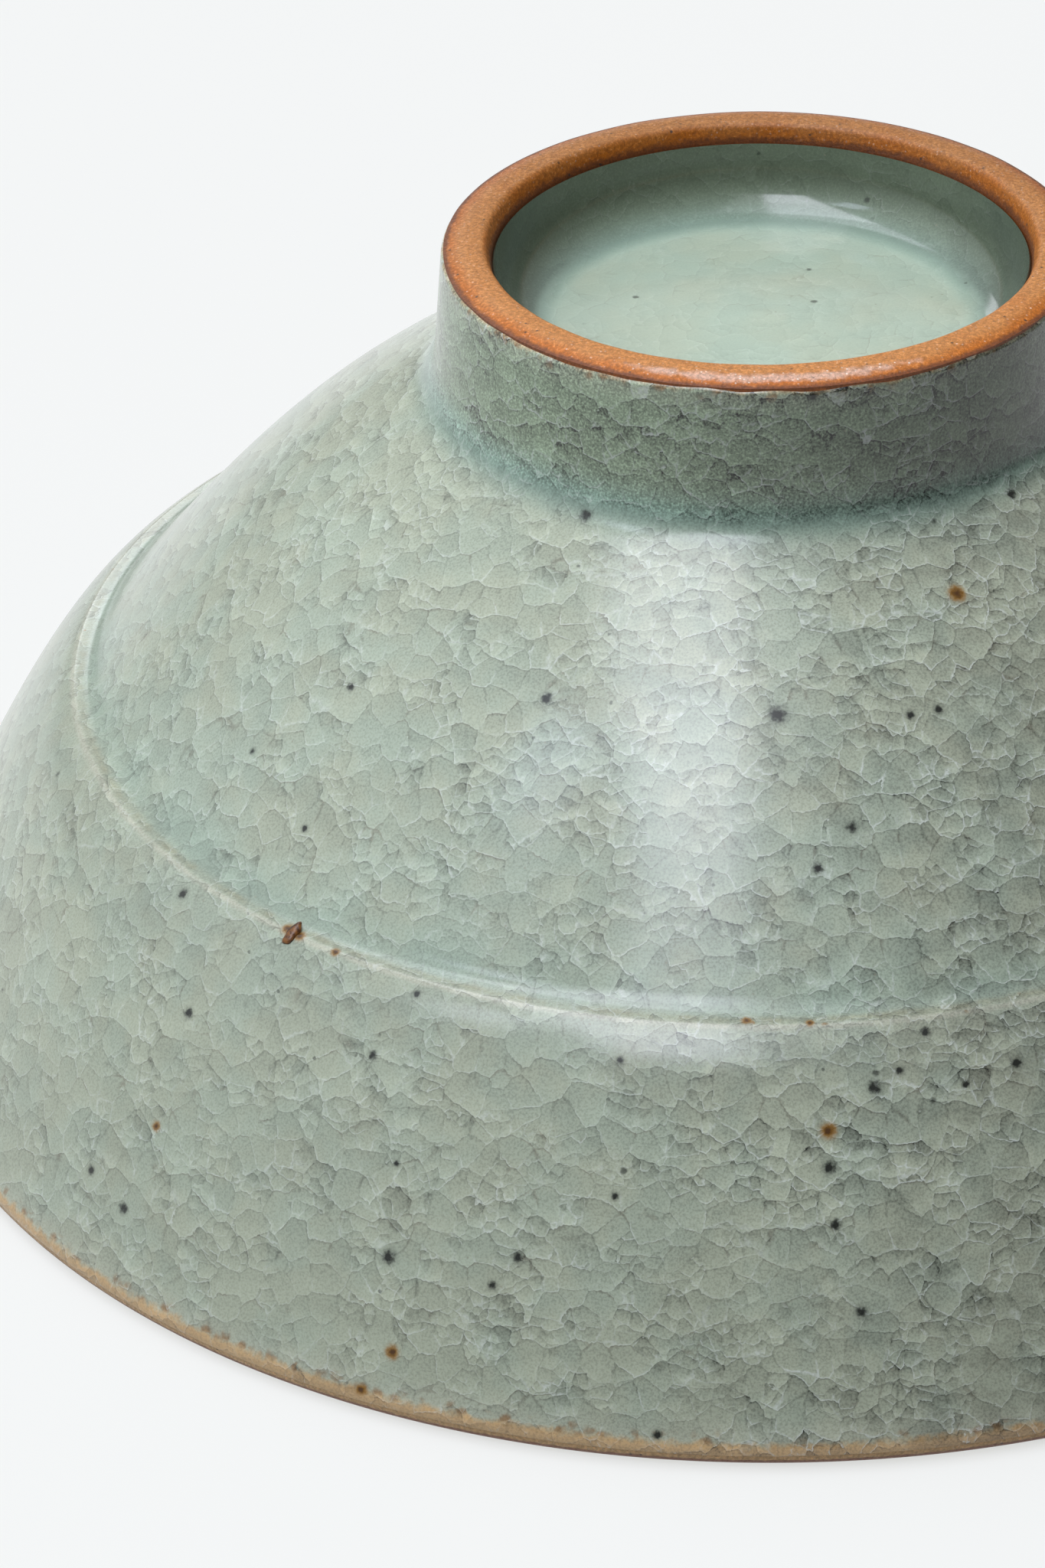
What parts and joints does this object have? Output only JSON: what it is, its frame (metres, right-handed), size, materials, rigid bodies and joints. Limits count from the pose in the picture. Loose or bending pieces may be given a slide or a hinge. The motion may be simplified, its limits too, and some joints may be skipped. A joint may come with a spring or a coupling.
{
  "type": "matcha bowl",
  "caption": "Thrown stoneware tea bowl with a crackled celadon glaze, a turned ridge round the side and a bare clay foot ring, stored upside down on its rim.",
  "frame": {"origin": "centre of the rim, on the surface that the upside-down bowl stands on", "axes": "+Z along the bowl's axis from the rim to the foot, so a half turn about X or Y stands the bowl on its foot for use"},
  "size_m": [0.1409, 0.1408, 0.0657],
  "materials": {
    "lip_clay": "satin",
    "foot_clay": "matt",
    "celadon_outside": "gloss",
    "celadon_inside": "gloss",
    "celadon_well": "gloss"
  },
  "bodies": {
    "root": {"bowl_body": "lip_clay", "foot_ring": "foot_clay", "outer_glaze": "celadon_outside", "inner_glaze": "celadon_inside", "foot_well_glaze": "celadon_well"}
  },
  "joints": []
}
